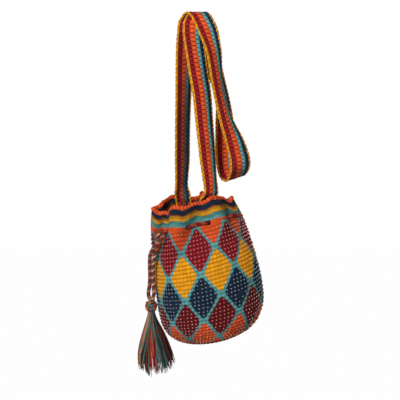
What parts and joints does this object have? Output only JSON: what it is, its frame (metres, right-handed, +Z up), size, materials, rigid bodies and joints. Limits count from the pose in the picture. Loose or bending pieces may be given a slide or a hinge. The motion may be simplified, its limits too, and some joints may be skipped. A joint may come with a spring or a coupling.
{
  "type": "crocheted mochila bag",
  "caption": "Small beaded crochet bucket bag with a gathered neck, a drawstring ending in a tassel, and a woven strap doubled over a peg.",
  "frame": {"origin": "middle of the round peg that the doubled strap hangs over", "axes": "+Z up; the peg lies along X; -Y is the side that faces the viewer; the tassel hangs on the -X side"},
  "size_m": [0.1735, 0.1264, 0.4822],
  "materials": {
    "crochet": "crocheted cotton yarn with small glass beads",
    "woven_band": "warp-faced woven cotton band",
    "thread": "sewing yarn",
    "cord": "twisted cotton cord",
    "yarn": "loose cotton yarn"
  },
  "bodies": {
    "bag": {"bag_body": "crochet", "strap": "woven_band", "strap_seam_back": "thread", "strap_seam_front": "thread", "drawstring_neck": "cord"},
    "tassel_drop": {"drawstring_tail_a": "cord", "drawstring_tail_b": "cord", "tassel_knot": "yarn", "tassel_skirt": "yarn"}
  },
  "joints": [
    {"name": "tassel_swing", "type": "hinge", "parent": "bag", "child": "tassel_drop", "pos_m": [-0.04119, -0.03162, -0.27372], "axis": [-0.6683, 0.7381, -0.0926], "range_deg": [0, 75]}
  ]
}
